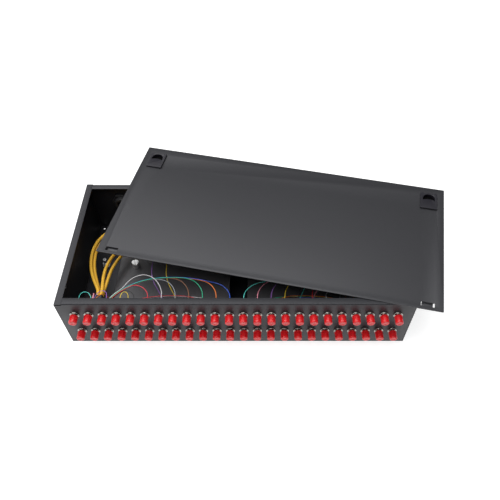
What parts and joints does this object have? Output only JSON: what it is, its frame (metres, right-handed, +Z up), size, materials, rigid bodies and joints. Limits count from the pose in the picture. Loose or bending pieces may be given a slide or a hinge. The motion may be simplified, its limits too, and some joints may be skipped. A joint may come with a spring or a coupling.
{
  "type": "fibre patch panel",
  "caption": "Rack-height fibre patch panel in folded black sheet, with capped round adapters in front, splice trays and pigtails inside, and a loose latching cover resting askew on its rim.",
  "frame": {"origin": "middle of the case's underside", "axes": "+X to the right seen from the adapter side, +Y to the back, +Z up"},
  "size_m": [0.4998, 0.2906, 0.0916],
  "materials": {
    "case_paint": "semi-gloss black powder coat",
    "cover_paint": "satin black powder coat",
    "adapter_metal": "nickel-plated metal",
    "plug_metal": "nickel-plated metal, knurled",
    "boot_rubber": "soft black boot",
    "pigtail_jackets": "0.9 mm jackets in twelve fibre colours",
    "tube_yellow": "satin yellow tubing",
    "fanout_plastic": "moulded black block",
    "tray_plastic": "moulded dark grey",
    "lid_plastic": "satin dark grey",
    "comb_plastic": "moulded grey",
    "sleeve_plastic": "clear shrink sleeve over a steel rod",
    "fastener_steel": "bright zinc plate",
    "gland_plastic": "black nylon",
    "latch_plastic": "moulded black",
    "cap_red": "soft red vinyl"
  },
  "bodies": {
    "case": {"floor_pan": "case_paint", "front_panel": "case_paint", "rear_panel": "case_paint", "side_wall_left": "case_paint", "side_wall_right": "case_paint", "adapters_upper": "adapter_metal", "adapters_lower": "adapter_metal", "adapter_nuts": "adapter_metal", "connectors": "plug_metal", "connector_boots": "boot_rubber", "pigtails_upper_left": "pigtail_jackets", "pigtails_upper_right": "pigtail_jackets", "pigtails_lower_left": "pigtail_jackets", "pigtails_lower_right": "pigtail_jackets", "tubes_left": "tube_yellow", "tubes_right": "tube_yellow", "fanout_blocks": "fanout_plastic", "fanout_brackets": "case_paint", "splice_tray_left": "tray_plastic", "splice_tray_right": "tray_plastic", "tray_lid_left": "lid_plastic", "tray_lid_right": "lid_plastic", "splice_combs": "comb_plastic", "splice_sleeves": "sleeve_plastic", "tray_studs": "fastener_steel", "gland_bodies": "gland_plastic", "gland_locknuts": "gland_plastic", "earth_stud": "fastener_steel", "earth_nut": "fastener_steel"},
    "cover": {"cover_plate": "cover_paint", "latch_frame_left": "latch_plastic", "latch_frame_right": "latch_plastic"},
    "latch_left": {"latch_slider_left": "latch_plastic"},
    "latch_right": {"latch_slider_right": "latch_plastic"},
    "cap_01": {"dust_cap_01": "cap_red"},
    "cap_02": {"dust_cap_02": "cap_red"},
    "cap_03": {"dust_cap_03": "cap_red"},
    "cap_04": {"dust_cap_04": "cap_red"},
    "cap_05": {"dust_cap_05": "cap_red"},
    "cap_06": {"dust_cap_06": "cap_red"},
    "cap_07": {"dust_cap_07": "cap_red"},
    "cap_08": {"dust_cap_08": "cap_red"},
    "cap_09": {"dust_cap_09": "cap_red"},
    "cap_10": {"dust_cap_10": "cap_red"},
    "cap_11": {"dust_cap_11": "cap_red"},
    "cap_12": {"dust_cap_12": "cap_red"},
    "caps_upper_right": {"dust_caps_upper_right": "cap_red"},
    "caps_lower": {"dust_caps_lower": "cap_red"},
    "nut_left_outer": {"thumb_nut_left_outer": "fastener_steel"},
    "nut_left_inner": {"thumb_nut_left_inner": "fastener_steel"},
    "nut_right_outer": {"thumb_nut_right_outer": "fastener_steel"},
    "nut_right_inner": {"thumb_nut_right_inner": "fastener_steel"},
    "gland_left": {"gland_dome_left": "gland_plastic"},
    "gland_right": {"gland_dome_right": "gland_plastic"}
  },
  "joints": [
    {"name": "cover_lift", "type": "slide", "parent": "case", "child": "cover", "axis": [0, 0, 1], "range_m": [0, 0.1]},
    {"name": "latch_slide_left", "type": "slide", "parent": "cover", "child": "latch_left", "axis": [-0.2113, -0.9774, 0], "range_m": [0, 0.0054]},
    {"name": "latch_slide_right", "type": "slide", "parent": "cover", "child": "latch_right", "axis": [-0.2113, -0.9774, 0], "range_m": [0, 0.0054]},
    {"name": "cap_pull_01", "type": "slide", "parent": "case", "child": "cap_01", "axis": [0, -1, 0], "range_m": [0, 0.02]},
    {"name": "cap_pull_02", "type": "slide", "parent": "case", "child": "cap_02", "axis": [0, -1, 0], "range_m": [0, 0.02]},
    {"name": "cap_pull_03", "type": "slide", "parent": "case", "child": "cap_03", "axis": [0, -1, 0], "range_m": [0, 0.02]},
    {"name": "cap_pull_04", "type": "slide", "parent": "case", "child": "cap_04", "axis": [0, -1, 0], "range_m": [0, 0.02]},
    {"name": "cap_pull_05", "type": "slide", "parent": "case", "child": "cap_05", "axis": [0, -1, 0], "range_m": [0, 0.02]},
    {"name": "cap_pull_06", "type": "slide", "parent": "case", "child": "cap_06", "axis": [0, -1, 0], "range_m": [0, 0.02]},
    {"name": "cap_pull_07", "type": "slide", "parent": "case", "child": "cap_07", "axis": [0, -1, 0], "range_m": [0, 0.02]},
    {"name": "cap_pull_08", "type": "slide", "parent": "case", "child": "cap_08", "axis": [0, -1, 0], "range_m": [0, 0.02]},
    {"name": "cap_pull_09", "type": "slide", "parent": "case", "child": "cap_09", "axis": [0, -1, 0], "range_m": [0, 0.02]},
    {"name": "cap_pull_10", "type": "slide", "parent": "case", "child": "cap_10", "axis": [0, -1, 0], "range_m": [0, 0.02]},
    {"name": "cap_pull_11", "type": "slide", "parent": "case", "child": "cap_11", "axis": [0, -1, 0], "range_m": [0, 0.02]},
    {"name": "cap_pull_12", "type": "slide", "parent": "case", "child": "cap_12", "axis": [0, -1, 0], "range_m": [0, 0.02]},
    {"name": "caps_upper_right_pull", "type": "slide", "parent": "case", "child": "caps_upper_right", "axis": [0, -1, 0], "range_m": [0, 0.02]},
    {"name": "caps_lower_pull", "type": "slide", "parent": "case", "child": "caps_lower", "axis": [0, -1, 0], "range_m": [0, 0.02]},
    {"name": "nut_turn_left_outer", "type": "hinge", "parent": "case", "child": "nut_left_outer", "pos_m": [-0.143, 0.005, 0.024], "axis": [0, 0, 1], "continuous": true},
    {"name": "nut_turn_left_inner", "type": "hinge", "parent": "case", "child": "nut_left_inner", "pos_m": [-0.035, 0.005, 0.024], "axis": [0, 0, 1], "continuous": true},
    {"name": "nut_turn_right_outer", "type": "hinge", "parent": "case", "child": "nut_right_outer", "pos_m": [0.143, 0.005, 0.024], "axis": [0, 0, 1], "continuous": true},
    {"name": "nut_turn_right_inner", "type": "hinge", "parent": "case", "child": "nut_right_inner", "pos_m": [0.035, 0.005, 0.024], "axis": [0, 0, 1], "continuous": true},
    {"name": "gland_turn_left", "type": "hinge", "parent": "case", "child": "gland_left", "pos_m": [-0.17, 0.1053, 0.058], "axis": [0, 1, 0], "continuous": true},
    {"name": "gland_turn_right", "type": "hinge", "parent": "case", "child": "gland_right", "pos_m": [0.17, 0.1053, 0.058], "axis": [0, 1, 0], "continuous": true}
  ]
}
